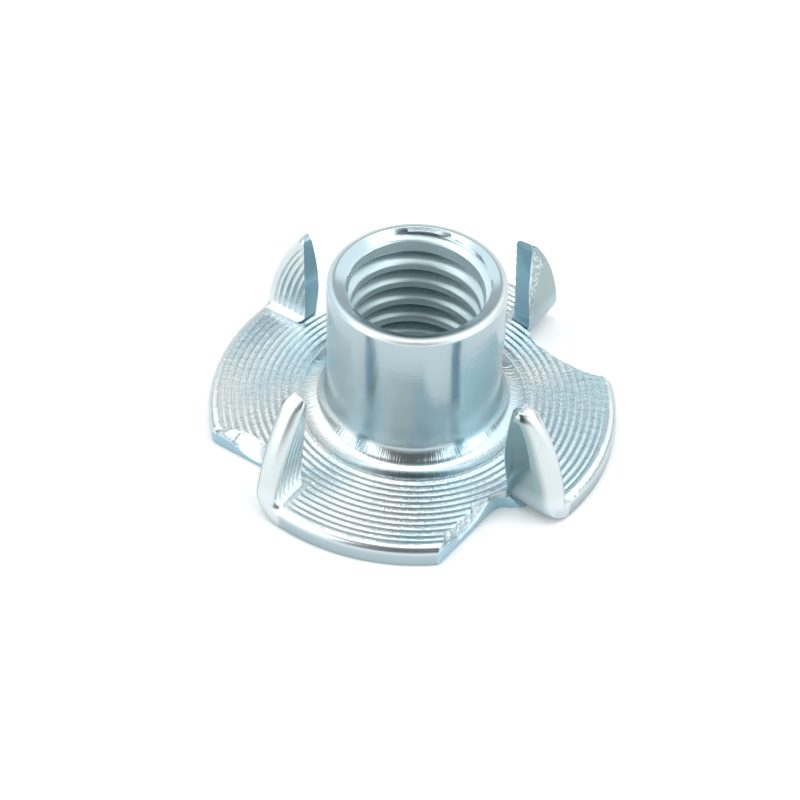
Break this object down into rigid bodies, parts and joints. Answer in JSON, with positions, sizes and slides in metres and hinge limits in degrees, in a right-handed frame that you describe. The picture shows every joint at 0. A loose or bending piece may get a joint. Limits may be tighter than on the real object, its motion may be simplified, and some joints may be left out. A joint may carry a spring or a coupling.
{
  "type": "four-prong tee nut",
  "caption": "Round flanged steel tee nut with a threaded barrel and prongs folded up from the flange, driven into wood to hold a bolt.",
  "frame": {"origin": "on the axis of the thread, in the plane of the flange's underside", "axes": "+Z along the thread axis, from the flange's underside towards the barrel's open end; -Y towards the side that is seen in front"},
  "size_m": [0.022, 0.022, 0.0095],
  "materials": {
    "zinc": "bright zinc-plated sheet steel"
  },
  "bodies": {
    "root": {"tee_nut": "zinc"}
  },
  "joints": []
}
